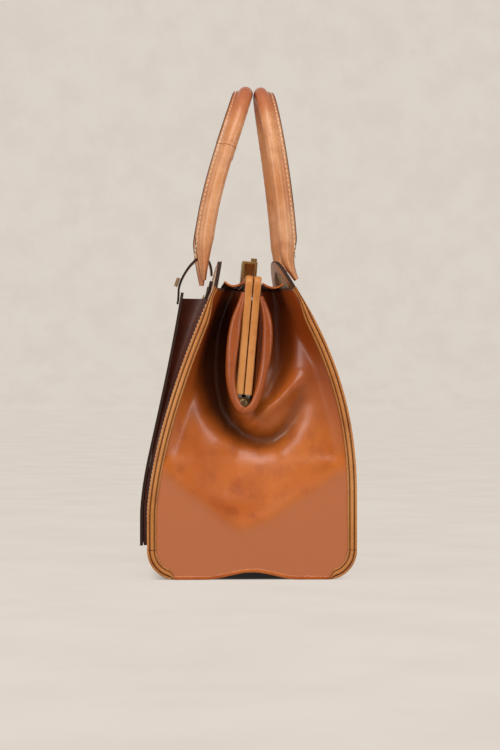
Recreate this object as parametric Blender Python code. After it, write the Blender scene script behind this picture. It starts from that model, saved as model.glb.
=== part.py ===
"""Leather doctor bag: a stiff-based bag whose mouth is two hinged, leather-covered frame halves.

Axes: X across the bag's depth (pocket side at -X), Y along its length, Z up, standing on Z = 0.
All sizes are in metres. Each moving group hangs from an empty that stands on its joint's axis.
"""

import math

import bmesh
import bpy
from mathutils import Matrix, Vector

# ---- overall sizes -------------------------------------------------------------------------------
LENGTH = 0.380  # along Y, over the welts
HALF_DEPTH = 0.100  # from the body's middle to a panel's face, where the body is widest
BODY_X = 0.0036  # the body's middle; the pocket makes up the rest of the -X side
CORNER = 0.028  # radius of the base's long edges
ARCH = 0.007  # how far the middle of the base stands off the table
ARCH_HALF = 0.045  # half the width of that raised middle

# ---- leather and gaps ----------------------------------------------------------------------------
LEATHER = 0.0025
LINING = 0.0010
BOARD = 0.0030
GAP = 0.0003  # between pieces that touch
EASE = 0.0006  # between pieces that lie side by side

# ---- panels: X leans in over the height as LEAN * t ** POWER ---------------------------------------
PANEL_END_TOP = 0.278  # height of a panel's top edge at its ends
PANEL_RISE = 0.034  # how much higher it stands at mid length
FRONT_LEAN, FRONT_STRAIGHT, FRONT_POWER = 0.0632, 0.060, 1.55
BACK_LEAN, BACK_STRAIGHT, BACK_POWER = 0.0576, 0.075, 2.25
TOP_STEEPNESS = 0.5
WELT_WIDTH, WELT_DEPTH = 0.0070, 0.0017
BINDING = 0.0070  # height of the strip that is stitched along a panel's top edge

# ---- end gussets -----------------------------------------------------------------------------------
GUSSET_TOP = 0.160  # top of the lower gusset, just under the hinge
GUSSET_FOLD = 0.075  # height where the gusset starts to slant inwards
GUSSET_SLANT = 0.0115
WING_TOP = 0.275
WING_CLEAR = 0.003  # from a wing's edge to the lining beside it

# ---- mouth frame: two halves that hinge on a rivet at each end --------------------------------------
HINGE_X, HINGE_Z = -0.0048, 0.168
FRAME_TILT = math.radians(4.9)  # the closed frame leans towards the back panel
FRAME_HEIGHT = 0.1225  # rivet to the top of the frame
FRAME_SET_IN = 0.010  # from the bag's end to the outer face of an arm
FRAME_HALF = LENGTH / 2 - FRAME_SET_IN
FRAME_CORNER = 0.009
BAR_WIDTH, BAR_DEPTH = 0.0073, 0.0080
COVER = 0.0013
CORE_EASE = 0.0004
SPLIT = 0.0004  # half the gap between the closed halves
LUG_RADIUS, LUG_THICKNESS = 0.0055, 0.0018
RIVET_RADIUS, RIVET_HEAD, RIVET_EASE = 0.0020, 0.0040, 0.0003
PLATE_WIDTH, PLATE_HEIGHT, PLATE_THICKNESS = 0.0139, 0.0120, 0.0015
PLATE_TRIM = 0.0026  # off the plate's top corners, which clears the arms as they swing

# ---- lock on top of the frame -----------------------------------------------------------------------
LOCK_LENGTH, LOCK_HEIGHT, LOCK_WALL = 0.044, 0.021, 0.0022
POST_LENGTH, POST_HEIGHT, POST_WIDTH = 0.008, 0.0135, 0.0045
BOLT, BOLT_TRAVEL, LATCH_EASE = 0.0030, 0.0095, 0.0005

# ---- pocket on the front panel ------------------------------------------------------------------------
POCKET_LENGTH = 0.300
POCKET_WALL = 0.0030
POCKET_LOW, POCKET_TOP = 0.030, 0.275
POCKET_SPREAD_FROM = 0.120  # height above which the wall stands off further and further
POCKET_FOOT_GAP, POCKET_MOUTH = 0.0043, 0.0265  # from the panel's face to the wall, low and at the mouth
STRAP_WIDTH, STRAP_THICKNESS, STRAP_RISE = 0.024, 0.0022, 0.022
STRAP_ROOT_Z, STRAP_ROOT_OUT = 0.2975, 0.004  # the strap's stitched end, and its distance from the panel
STRAP_DROP, STRAP_TAIL = 0.006, 0.007  # how far the arch ends above the wall's edge, and the tail below it
ARCH_STEPS, BUCKLE_STEP = 15, 12  # the arch's points, and the one that the buckle sits on
BUCKLE_HEIGHT, BUCKLE_RIM, BUCKLE_THICKNESS = 0.0090, 0.0025, 0.0018

# ---- handles ---------------------------------------------------------------------------------------------
HANDLE_SPREAD = 0.075  # mid length to a leg
HANDLE_PIVOT_Z = 0.290
HANDLE_TOP = 0.4845  # height of the roll's centre line at mid length
HANDLE_TILT_X = 0.0108  # X midway between the two handles' tops
HANDLE_TOP_GAP = 0.0016  # between them
FRONT_FOOT, BACK_FOOT = 0.0097, 0.0094  # from a panel's face to a leg's centre line
BACK_KINK, KINK_HEIGHT = 0.0100, 0.028  # the back legs set in by this much just above the panel
ROLL_RADIUS, ROLL_CORE, FLANGE = 0.0068, 0.0042, 0.0062
ROLL_SEAM = 0.0016  # half the thickness of the stitched flange
ARCH_POWER = 2.7  # squareness of the handle's arch
TONGUE = 0.45  # thickness of a leg's flattened end, as a share of the roll's
ANCHOR_WIDTH, ANCHOR_LENGTH, ANCHOR_THICKNESS = 0.022, 0.032, 0.0030
TAB_EASE = 0.0016  # the curved panel's facets stand a little proud under a tab

END = LENGTH / 2
PANEL_END = END - WELT_DEPTH - GAP  # a panel stops behind its welts
GUSSET_FACE = PANEL_END - 2 * GAP
TAN = (0.45, 0.16, 0.045, 1)
OCHRE = (0.50, 0.20, 0.06, 1)


# ---- scene, materials, bodies ------------------------------------------------------------------------------
def clear_scene():
    for old in list(bpy.data.objects):
        bpy.data.objects.remove(old)


def material(name, colour, roughness, metallic=0.0):
    made = bpy.data.materials.new(name)
    made.use_nodes = True
    shader = made.node_tree.nodes["Principled BSDF"]
    shader.inputs["Base Color"].default_value = colour
    shader.inputs["Roughness"].default_value = roughness
    shader.inputs["Metallic"].default_value = metallic
    made.diffuse_color = colour
    return made


def empty(name, place, parent=None):
    made = bpy.data.objects.new(name, None)
    bpy.context.scene.collection.objects.link(made)
    made.parent = parent
    made.location = Vector(place) - (world_place(parent) if parent else Vector())
    return made


def world_place(obj):
    return obj.location + (world_place(obj.parent) if obj.parent else Vector())


def add(name, shape, finish, body, smooth=True):
    """Make an object from a bmesh in world coordinates, with its origin on its body's empty."""
    bmesh.ops.recalc_face_normals(shape, faces=shape.faces)
    bmesh.ops.translate(shape, vec=-world_place(body), verts=shape.verts)
    mesh = bpy.data.meshes.new(name)
    shape.to_mesh(mesh)
    shape.free()
    mesh.materials.append(finish)
    if smooth:
        mesh.shade_smooth()
        mesh.set_sharp_from_angle(angle=math.radians(40))
    made = bpy.data.objects.new(name, mesh)
    bpy.context.scene.collection.objects.link(made)
    made.parent = body
    return made


def combine(target, other, operation):
    """Join or cut with a hidden helper."""
    other.hide_render = True
    other.display_type = "WIRE"
    change = target.modifiers.new(other.name, "BOOLEAN")
    change.object = other
    change.operation = operation
    change.solver = "EXACT"


# ---- shape helpers ---------------------------------------------------------------------------------------------
def skin(rings, closed=True):
    """A solid from rings of points: each ring is a closed loop, and the two ends are capped."""
    shape = bmesh.new()
    rows = [[shape.verts.new(point) for point in ring] for ring in rings]
    pairs = list(zip(rows, rows[1:]))
    if not closed:
        pairs.append((rows[-1], rows[0]))
    for low, high in pairs:
        for i in range(len(low)):
            j = (i + 1) % len(low)
            shape.faces.new((low[i], low[j], high[j], high[i]))
    if closed:
        shape.faces.new(rows[0])
        shape.faces.new(reversed(rows[-1]))
    return shape


def sheet(grid, thickness):
    """A solid of one thickness behind a grid of points, whose rows run up and columns run along."""
    last_row, last_column = len(grid) - 1, len(grid[0]) - 1
    shape = bmesh.new()
    fronts, backs = [], []
    for i, row in enumerate(grid):
        fronts.append([])
        backs.append([])
        for j, point in enumerate(row):
            up = Vector(grid[min(i + 1, last_row)][j]) - Vector(grid[max(i - 1, 0)][j])
            along = Vector(row[min(j + 1, last_column)]) - Vector(row[max(j - 1, 0)])
            fronts[-1].append(shape.verts.new(point))
            backs[-1].append(shape.verts.new(Vector(point) - up.cross(along).normalized() * thickness))
    for i in range(last_row):
        for j in range(last_column):
            for side in (fronts, backs):
                shape.faces.new((side[i][j], side[i][j + 1], side[i + 1][j + 1], side[i + 1][j]))
    rim = [(i, 0) for i in range(last_row)] + [(last_row, j) for j in range(last_column)]
    rim += [(i, last_column) for i in range(last_row, 0, -1)] + [(0, j) for j in range(last_column, 0, -1)]
    for (i, j), (k, m) in zip(rim, rim[1:] + rim[:1]):
        shape.faces.new((fronts[i][j], fronts[k][m], backs[k][m], backs[i][j]))
    return shape


def box(low, high):
    corners = [(x, y) for x, y in ((low[0], low[1]), (high[0], low[1]), (high[0], high[1]), (low[0], high[1]))]
    return skin([[(x, y, z) for x, y in corners] for z in (low[2], high[2])])


def turned(x, z, steps, segments=20):
    """A turned piece on an axis along Y: steps are (y, radius), from one end to the other."""
    turns = [2 * math.pi * i / segments for i in range(segments)]
    return skin([[(x + r * math.cos(a), y, z + r * math.sin(a)) for a in turns] for y, r in steps])


def spread(low, high, count):
    return [low + (high - low) * i / (count - 1) for i in range(count)]


def arc(centre, radius, start, end, count):
    return [
        (centre[0] + radius * math.cos(a), centre[1] + radius * math.sin(a))
        for a in (math.radians(d) for d in spread(start, end, count))
    ]


# ---- the body's outline ------------------------------------------------------------------------------------------
def lean(z, amount, straight, power):
    """How far a panel leans in at height z: less and less steeply above the height of its ends."""
    share = max(z - straight, 0.0) / (PANEL_END_TOP - straight)
    return amount * (min(share, 1.0) + TOP_STEEPNESS * max(share - 1.0, 0.0)) ** power


def panel_lean(side, z):
    if side < 0:
        return lean(z, FRONT_LEAN, FRONT_STRAIGHT, FRONT_POWER)
    return lean(z, BACK_LEAN, BACK_STRAIGHT, BACK_POWER)


def panel_x(side, z, inset=0.0):
    """X of a panel's outer face at height z, or of a face this far inside it, measured square to it."""
    if z < CORNER:
        reach = CORNER - inset
        half = HALF_DEPTH - CORNER + math.sqrt(max(reach**2 - (CORNER - z) ** 2, 0.0))
    else:
        step = 0.001
        slope = (panel_lean(side, z + step) - panel_lean(side, z - step)) / (2 * step)
        half = HALF_DEPTH - panel_lean(side, z) - inset * math.hypot(1.0, slope)
    return BODY_X + side * half


def panel_top(y):
    """A panel's top edge is level near its ends and rises to mid length."""
    return PANEL_END_TOP + PANEL_RISE * max(0.0, 1 - (y / PANEL_END) ** 2) ** 1.2


def base_z(x):
    """Height of the base's underside: two flat strips with an arched middle between them."""
    across = min(abs(x - BODY_X) / ARCH_HALF, 1.0)
    return ARCH * (0.5 + 0.5 * math.cos(math.pi * across))


def inside_x(side, z):
    """X where a gusset's edge stops, clear of the panel and its lining."""
    return panel_x(side, z, LEATHER + LINING + 5 * EASE)


# ---- root: base, gussets, hinge plates --------------------------------------------------------------------------------
def base_outline(inset):
    """Points across the base from one long edge to the other, this far inside its outer face."""
    reach = HALF_DEPTH - CORNER
    left = arc((BODY_X - reach, CORNER), CORNER - inset, 180, 270, 7)
    right = arc((BODY_X + reach, CORNER), CORNER - inset, 270, 360, 7)
    middle = [(x, base_z(x) + inset) for x in spread(BODY_X - ARCH_HALF, BODY_X + ARCH_HALF, 13)]
    return left + middle + right


def make_base(body, leather, board):
    ends = spread(-PANEL_END, PANEL_END, 5)
    add("base_leather", sheet([[(x, y, z) for y in ends] for x, z in base_outline(0.0)], -LEATHER), leather, body)
    low = ARCH + LEATHER + GAP
    inner = HALF_DEPTH - CORNER
    reach = PANEL_END - 4 * LEATHER
    add("base_board", box((BODY_X - inner, -reach, low), (BODY_X + inner, reach, low + BOARD)), board, body, False)


def gusset_y(z):
    """Distance from mid length to the lower gusset's outer face."""
    return GUSSET_FACE - GUSSET_SLANT * max(0.0, (z - GUSSET_FOLD) / (GUSSET_TOP - GUSSET_FOLD))


def make_gusset(name, end, body, leather):
    low = LEATHER + EASE
    grid = []
    for level in spread(0.0, 1.0, 18):
        row = []
        z = low + (GUSSET_TOP - low) * level**1.3
        for across in spread(0.0, 1.0, 13):
            x = inside_x(-1, z) + (inside_x(1, z) - inside_x(-1, z)) * across
            height = z + base_z(x) * (1 - level)
            row.append((x, end * gusset_y(height), height))
        grid.append(row)
    add(name, sheet(grid, end * LEATHER), leather, body)


def make_base_welt(name, end, body, leather):
    outer, inner = base_outline(0.0), base_outline(WELT_WIDTH)
    rings = []
    for (x0, z0), (x1, z1) in zip(outer, inner):
        rings.append([(x0, end * END, z0), (x1, end * END, z1), (x1, end * (END - WELT_DEPTH), z1),
                      (x0, end * (END - WELT_DEPTH), z0)])
    add(name, skin(rings), leather, body)


def hinge_layers():
    """Distances from mid length of the hinge's layers, from its rivet head inwards."""
    front_lug = FRAME_HALF - COVER - CORE_EASE
    back_lug = front_lug - LUG_THICKNESS - GAP
    plate = front_lug + GAP + PLATE_THICKNESS
    return plate, front_lug, back_lug


def make_hinge_hardware(label, end, body, metal):
    plate_face, front_lug, back_lug = hinge_layers()
    half, low = PLATE_WIDTH / 2, PLATE_HEIGHT / 2
    trim = PLATE_TRIM
    outline = [(HINGE_X + half, HINGE_Z + low - trim), (HINGE_X + half - trim, HINGE_Z + low),
               (HINGE_X - half + trim, HINGE_Z + low), (HINGE_X - half, HINGE_Z + low - trim)]
    outline += arc((HINGE_X, HINGE_Z + low - half), half, 180, 360, 13)
    rings = [[(x, end * y, z) for x, z in outline] for y in (plate_face, plate_face - PLATE_THICKNESS)]
    plate = add("hinge_plate_" + label, skin(rings), metal, body)
    reach = END
    hole = add("cut_plate_" + label, turned(HINGE_X, HINGE_Z, [(-reach, RIVET_RADIUS + RIVET_EASE),
               (reach, RIVET_RADIUS + RIVET_EASE)]), metal, body)
    combine(plate, hole, "DIFFERENCE")
    head, tail = plate_face + GAP, back_lug - LUG_THICKNESS - GAP
    dome = [(head + 0.0013, 0.0016), (head + 0.0010, 0.0029), (head + 0.0004, RIVET_HEAD), (head, RIVET_HEAD)]
    steps = dome + [(head, RIVET_RADIUS), (tail, RIVET_RADIUS), (tail, 0.0033), (tail - 0.0009, 0.0033)]
    add("hinge_rivet_" + label, turned(HINGE_X, HINGE_Z, [(end * y, r) for y, r in steps]), metal, body)


# ---- panels with their linings, welts and bindings ----------------------------------------------------------------------
def make_panel(name, side, body, leather, lining):
    seam = CORNER + 3 * GAP
    columns = spread(-PANEL_END, PANEL_END, 13)
    levels = spread(0.0, 1.0, 15)

    def grid(inset, low, drop, reach):
        rows = []
        for level in levels:
            row = []
            for y in columns:
                z = low + (panel_top(y) - drop - low) * level
                row.append((panel_x(side, z, inset), y * reach, z))
            rows.append(row)
        return rows

    add(name + "_panel", sheet(grid(0.0, seam, 0.0, 1.0), -side * LEATHER), leather, body)
    inside = grid(LEATHER + 2 * EASE, seam + EASE, BINDING + 0.005, 0.975)
    add(name + "_lining", sheet(inside, -side * LINING), lining, body)


def make_welt(name, side, end, body, leather):
    rings = []
    for z in spread(CORNER + 2 * GAP, PANEL_END_TOP, 20):
        x0, x1 = panel_x(side, z), panel_x(side, z, WELT_WIDTH)
        rings.append([(x0, end * END, z), (x1, end * END, z), (x1, end * (END - WELT_DEPTH), z),
                      (x0, end * (END - WELT_DEPTH), z)])
    add(name, skin(rings), leather, body)


def make_binding(name, side, body, leather):
    """A strip on the inner face, along the top edge, where the lining stops."""
    rows = []
    for drop in (BINDING, BINDING / 2, 0.0):
        row = []
        for y in spread(-PANEL_END, PANEL_END, 13):
            z = panel_top(y) - drop - EASE
            row.append((panel_x(side, z, LEATHER + 2 * EASE), y, z))
        rows.append(row)
    add(name, sheet(rows, -side * LINING), leather, body)


# ---- handles ------------------------------------------------------------------------------------------------------------------
def handle_x(side, z):
    """X of a handle's centre line: upright at the leg, then leaning in to the top."""
    apex = HANDLE_TILT_X + side * (ROLL_RADIUS + HANDLE_TOP_GAP / 2)
    rise = (z - HANDLE_PIVOT_Z) / (HANDLE_TOP - HANDLE_PIVOT_Z)
    if side < 0:
        foot = panel_x(side, HANDLE_PIVOT_Z) - FRONT_FOOT
        return foot + (apex - foot) * (1.35 * rise**2 - 0.35 * rise**4)
    foot = panel_x(side, HANDLE_PIVOT_Z) + BACK_FOOT - BACK_KINK
    kink = BACK_KINK * max(0.0, 1 - (z - HANDLE_PIVOT_Z) / KINK_HEIGHT) ** 2
    return foot + (apex - foot) * rise**1.6 + kink


def handle_path(side):
    """Centre line of the roll at even steps, from one leg's end over the arch to the other's."""
    rise = HANDLE_TOP - HANDLE_PIVOT_Z
    fine = []
    for angle in spread(0.0, math.pi, 400):
        c, s = math.cos(angle), math.sin(angle)
        z = HANDLE_PIVOT_Z + rise * abs(s) ** (2 / ARCH_POWER)
        fine.append(Vector((handle_x(side, z), HANDLE_SPREAD * math.copysign(abs(c) ** (2 / ARCH_POWER), -c), z)))
    lengths = [0.0]
    for a, b in zip(fine, fine[1:]):
        lengths.append(lengths[-1] + (b - a).length)
    steps = spread(0.0, lengths[-1], 35)
    return [fine[min(range(len(fine)), key=lambda i: abs(lengths[i] - step))] for step in steps]


def swept(points, section, side):
    """Sweep a section, given as (across, outwards) pairs, along the handle; it flattens into its ends."""
    rings = []
    for i, point in enumerate(points):
        ahead = (points[min(i + 1, len(points) - 1)] - points[max(i - 1, 0)]).normalized()
        outwards = (Vector((side, 0, 0)) - ahead * ahead.x * side).normalized()
        across = ahead.cross(outwards)
        thick = min(1.0, TONGUE + 0.18 * min(i, len(points) - 1 - i))
        rings.append([point + across * a + outwards * b * thick for a, b in section])
    return rings


def make_handle(name, side, body, leather, rope):
    """Leather folded round a rope, with its two edges stitched together as a flange on the outside."""
    path = handle_path(side)
    tip = ROLL_RADIUS + FLANGE
    outer = arc((0.0, 0.0), ROLL_RADIUS, 118, 422, 11)
    inner = arc((0.0, 0.0), ROLL_CORE + GAP, 448, 92, 11)
    slit = GAP / 2
    fold = [(-ROLL_SEAM, tip)] + outer + [(ROLL_SEAM, tip), (slit, tip)] + inner + [(-slit, tip)]
    add(name, skin(swept(path, fold, side)), leather, body)
    inside = path[3:-3]
    turns = arc((0.0, 0.0), ROLL_CORE - GAP, 0, 324, 10)
    rings = []
    for i, point in enumerate(inside):
        ahead = (inside[min(i + 1, len(inside) - 1)] - inside[max(i - 1, 0)]).normalized()
        outwards = (Vector((side, 0, 0)) - ahead * ahead.x * side).normalized()
        across = ahead.cross(outwards)
        rings.append([point + across * a + outwards * b for a, b in turns])
    add(name + "_core", skin(rings), rope, body)


def make_anchor(name, side, y, body, leather, metal, label):
    """The stitched leather tab that a leg ends in, and its rivet through the panel."""
    rows = []
    top = HANDLE_PIVOT_Z - 2 * EASE
    for drop in spread(ANCHOR_LENGTH, 0.0, 7):
        z = top - drop
        half = ANCHOR_WIDTH / 2 * (1.0 - 0.25 * (1 - drop / ANCHOR_LENGTH))
        face = panel_x(side, z, -TAB_EASE - ANCHOR_THICKNESS)
        rows.append([(face, y + along, z) for along in spread(-half, half, 5)])
    tab = add(name, sheet(rows, -side * ANCHOR_THICKNESS), leather, body)
    z = top - ANCHOR_LENGTH * 0.6
    slope = Vector((panel_x(side, z + 0.002) - panel_x(side, z - 0.002), 0, 0.004)).normalized()
    out = Vector((side * slope.z, 0, -side * slope.x))
    middle = Vector((panel_x(side, z), y, z))
    face, tail = TAB_EASE + ANCHOR_THICKNESS, LEATHER + 2 * EASE + LINING
    steps = [(face + 0.0015, 0.0018), (face + 0.0012, 0.0034), (face + GAP, 0.0042), (face + GAP, 0.0016),
             (-tail - GAP, 0.0016), (-tail - GAP, 0.0030), (-tail - GAP - 0.0008, 0.0030)]
    turn = out.to_track_quat("Y", "Z").to_matrix().to_4x4()
    rivet = turned(0.0, 0.0, steps, 16)
    bmesh.ops.transform(rivet, matrix=Matrix.Translation(middle) @ turn, verts=rivet.verts)
    add(f"handle_rivet_{label}", rivet, metal, body)
    drill = turned(0.0, 0.0, [(0.02, 0.0020), (-0.02, 0.0020)], 16)
    bmesh.ops.transform(drill, matrix=Matrix.Translation(middle) @ turn, verts=drill.verts)
    hole = add(f"cut_rivet_{label}", drill, metal, body)
    word = "front" if side < 0 else "back"
    for pierced in (tab, bpy.data.objects[word + "_panel"], bpy.data.objects[word + "_lining"]):
        combine(pierced, hole, "DIFFERENCE")


# ---- mouth frame ------------------------------------------------------------------------------------------------------------------
def frame_point(across, y, height):
    """A point by its place across the closed frame, along the bag, and up the arms from the rivet."""
    c, s = math.cos(FRAME_TILT), math.sin(FRAME_TILT)
    return (HINGE_X + across * c + height * s, y, HINGE_Z - across * s + height * c)


def frame_rings(side, section, foot):
    """Sweep a section, given as (across, outwards) pairs, along one half's arms and top bar."""
    middle = side * (SPLIT + BAR_WIDTH / 2)
    reach, top = FRAME_HALF - BAR_DEPTH / 2, FRAME_HEIGHT - BAR_DEPTH / 2
    radius = FRAME_CORNER - BAR_DEPTH / 2
    stations = [((-reach, h), (-1.0, 0.0)) for h in spread(foot, top - radius, 4)]
    for end, start in ((-1, 180), (1, 90)):
        corner = (end * (reach - radius), top - radius)
        for place, way in zip(arc(corner, radius, start, start - 90, 6), arc((0, 0), 1.0, start, start - 90, 6)):
            stations.append((place, way))
    stations += [((reach, h), (1.0, 0.0)) for h in spread(top - radius, foot, 4)]
    tidy = [station for i, station in enumerate(stations) if i == 0 or math.dist(station[0], stations[i - 1][0]) > 1e-6]
    return [
        [frame_point(middle + a, y + n * way[0], h + n * way[1]) for a, n in section] for (y, h), way in tidy
    ]


def make_frame_half(name, side, body, leather, steel):
    half, deep = BAR_WIDTH / 2, BAR_DEPTH / 2
    wall = half - COVER
    channel = [(-half, -deep), (-half, deep), (half, deep), (half, -deep), (wall, -deep), (wall, deep - COVER),
               (-wall, deep - COVER), (-wall, -deep)]
    cover_foot = LUG_RADIUS + 0.0029
    add(name + "_frame_cover", skin(frame_rings(side, channel, cover_foot)), leather, body)
    a, n = wall - CORE_EASE, deep - COVER - CORE_EASE
    core = [(-a, -deep), (-a, n), (a, n), (a, -deep)]
    neck = LUG_RADIUS + 0.0010
    made = add(name + "_frame_core", skin(frame_rings(side, core, neck)), steel, body)
    middle = side * (SPLIT + BAR_WIDTH / 2)
    _, front_lug, back_lug = hinge_layers()
    outer = front_lug if side < 0 else back_lug
    for end, label in ((-1, "near"), (1, "far")):
        ys = sorted((end * outer, end * (outer - LUG_THICKNESS)))
        disc = add(f"{name}_lug_{label}", turned(HINGE_X, HINGE_Z, [(ys[0], LUG_RADIUS), (ys[1], LUG_RADIUS)], 24),
                   steel, body)
        corners = ((middle - a, 0.0), (middle + a, 0.0), (middle + a, neck + 0.004), (middle - a, neck + 0.004))
        strip = skin([[frame_point(across, y, up) for across, up in corners] for y in ys])
        arm = add(f"{name}_neck_{label}", strip, steel, body)
        bore = turned(HINGE_X, HINGE_Z, [(ys[0] - 0.001, RIVET_RADIUS + RIVET_EASE),
                                         (ys[1] + 0.001, RIVET_RADIUS + RIVET_EASE)])
        hole = add(f"cut_{name}_lug_{label}", bore, steel, body)
        combine(made, disc, "UNION")
        combine(made, arm, "UNION")
        combine(made, hole, "DIFFERENCE")


def make_wing(name, side, end, body, leather):
    """Upper half of an end gusset: it hangs behind one arm and folds with it."""
    y = end * (FRAME_HALF - BAR_DEPTH - GAP)
    grid = []
    for z in spread(HINGE_Z + 0.002, WING_TOP, 10):
        up = (z - HINGE_Z) / math.cos(FRAME_TILT)
        inner = HINGE_X + up * math.sin(FRAME_TILT) + side * 2 * SPLIT
        outer = inside_x(side, z) - side * WING_CLEAR
        grid.append([(x, y, z) for x in spread(inner, outer, 6)])
    add(name, sheet(grid, end * side * LEATHER), leather, body)


def make_facing(name, side, body, leather):
    """The strip that closes the top between a frame bar and its panel."""
    up = FRAME_HEIGHT - BAR_DEPTH * 0.7
    inner = frame_point(side * (SPLIT + BAR_WIDTH + 3 * EASE), 0.0, up)
    reach = FRAME_HALF - FRAME_CORNER - 0.004
    rows = []
    for share in spread(0.0, 1.0, 6):
        z = inner[2] - 0.006 * math.sin(math.pi * share)
        outer = inside_x(side, z) - side * WING_CLEAR
        rows.append([(inner[0] + (outer - inner[0]) * share, y, z) for y in spread(-reach, reach, 5)])
    add(name, sheet(rows, side * LEATHER * 0.7), leather, body)


# ---- lock ----------------------------------------------------------------------------------------------------------------------------
def frame_box(low, high):
    """A box in the closed frame's own directions: across, along the bag, and up from the rivet."""
    corners = ((low[0], low[1]), (high[0], low[1]), (high[0], high[1]), (low[0], high[1]))
    return skin([[frame_point(a, y, h) for a, y in corners] for h in (low[2], high[2])])


def make_lock(front, back, slide, brass):
    half = SPLIT + BAR_WIDTH
    foot = FRAME_HEIGHT + GAP
    top = foot + LOCK_HEIGHT
    bolt_a, bolt_h = half * 0.5, foot + POST_HEIGHT * 0.58
    mouth = POST_LENGTH / 2 + 3 * LATCH_EASE
    case = add("lock_case", frame_box((-half, -LOCK_LENGTH / 2, foot), (half, LOCK_LENGTH / 2, top)), brass, front, False)
    slot = frame_box((-half + LOCK_WALL, -mouth, foot - 0.001), (half + 0.001, mouth, foot + POST_HEIGHT + 3 * LATCH_EASE))
    bore_half = BOLT / 2 + LATCH_EASE
    bolt_start, bolt_end = -LOCK_LENGTH / 2 + LOCK_WALL, mouth + BOLT_TRAVEL * 0.4
    bore = frame_box((bolt_a - bore_half, bolt_start, bolt_h - bore_half), (bolt_a + bore_half, bolt_end, bolt_h + bore_half))
    stem_half = BOLT / 4
    stem_low = bolt_start + LATCH_EASE + 0.002
    track = frame_box((bolt_a - stem_half - LATCH_EASE, stem_low - LATCH_EASE, bolt_h),
                      (bolt_a + stem_half + LATCH_EASE, stem_low + BOLT + BOLT_TRAVEL + LATCH_EASE, top + 0.001))
    for label, shape in (("slot", slot), ("bore", bore), ("track", track)):
        combine(case, add("cut_lock_" + label, shape, brass, front, False), "DIFFERENCE")

    post_low = (bolt_a - POST_WIDTH / 2, -POST_LENGTH / 2, foot)
    post = add("catch_post", frame_box(post_low, (bolt_a + POST_WIDTH / 2, POST_LENGTH / 2, foot + POST_HEIGHT)),
               brass, back, False)
    eye = frame_box((bolt_a - bore_half, -POST_LENGTH, bolt_h - bore_half), (bolt_a + bore_half, POST_LENGTH, bolt_h + bore_half))
    combine(post, add("cut_catch_eye", eye, brass, back, False), "DIFFERENCE")

    bolt_low = (bolt_a - BOLT / 2, bolt_start + LATCH_EASE, bolt_h - BOLT / 2)
    bolt = add("lock_bolt", frame_box(bolt_low, (bolt_a + BOLT / 2, -mouth + LATCH_EASE, bolt_h + BOLT / 2)), brass, slide, False)
    stem = frame_box((bolt_a - stem_half, stem_low, bolt_h), (bolt_a + stem_half, stem_low + BOLT, top + 0.0015))
    knob = frame_box((bolt_a - BOLT, stem_low - BOLT / 2, top + GAP), (bolt_a + BOLT, stem_low + BOLT * 1.5, top + 0.0035))
    for label, shape in (("stem", stem), ("knob", knob)):
        combine(bolt, add("join_lock_" + label, shape, brass, slide, False), "UNION")


# ---- pocket ----------------------------------------------------------------------------------------------------------------------------
def pocket_x(z):
    """X of the pocket wall's outer face: it stands off the panel, further towards its mouth."""
    rise = max(0.0, (z - POCKET_SPREAD_FROM) / (POCKET_TOP - POCKET_SPREAD_FROM))
    stand_off = POCKET_FOOT_GAP + (POCKET_MOUTH - POCKET_FOOT_GAP) * rise**2
    return panel_x(-1, z) - stand_off - POCKET_WALL


def make_pocket(body, leather, dark):
    half = POCKET_LENGTH / 2
    rows = [[(pocket_x(z), y, z) for y in spread(-half, half, 5)] for z in spread(POCKET_LOW, POCKET_TOP, 8)]
    add("pocket_wall", sheet(rows, POCKET_WALL), leather, body)
    for end, label in ((-1, "near"), (1, "far")):
        rings = []
        y = end * (half - LEATHER)
        for z in spread(POCKET_LOW + 0.002, POCKET_TOP - 0.006, 12):
            x0, x1 = pocket_x(z) + POCKET_WALL + EASE, panel_x(-1, z, -EASE)
            rings.append([(x0, y, z), (x1, y, z), (x1, y + end * LEATHER * 0.7, z), (x0, y + end * LEATHER * 0.7, z)])
        add("pocket_gusset_" + label, skin(rings), dark, body)
    z = POCKET_LOW
    x0, x1 = pocket_x(z + 0.002) + POCKET_WALL + EASE, panel_x(-1, z, -EASE)
    reach = half - 2 * LEATHER
    add("pocket_floor", box((x0, -reach, z), (x1, reach, z + LEATHER)), dark, body, False)


def strap_curve():
    """Side view of the closing strap, from its stitched root to its free end, as (x, z)."""
    root_x, root_z = panel_x(-1, STRAP_ROOT_Z) - STRAP_ROOT_OUT, STRAP_ROOT_Z
    wall_x, wall_z = pocket_x(POCKET_TOP) - EASE, POCKET_TOP
    middle, rise = (root_x + wall_x) / 2, STRAP_RISE
    half = (root_x - wall_x) / 2
    arch = []
    for angle in spread(0.0, 180.0, ARCH_STEPS):
        c, s = math.cos(math.radians(angle)), math.sin(math.radians(angle))
        floor = root_z + (wall_z + STRAP_DROP - root_z) * (1 - c) / 2
        arch.append((middle + half * c, floor + rise * s * (1 + 0.25 * c)))
    tail = [(pocket_x(z) - EASE, z) for z in (wall_z - STRAP_TAIL / 3, wall_z - STRAP_TAIL)]
    return arch + tail


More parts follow.
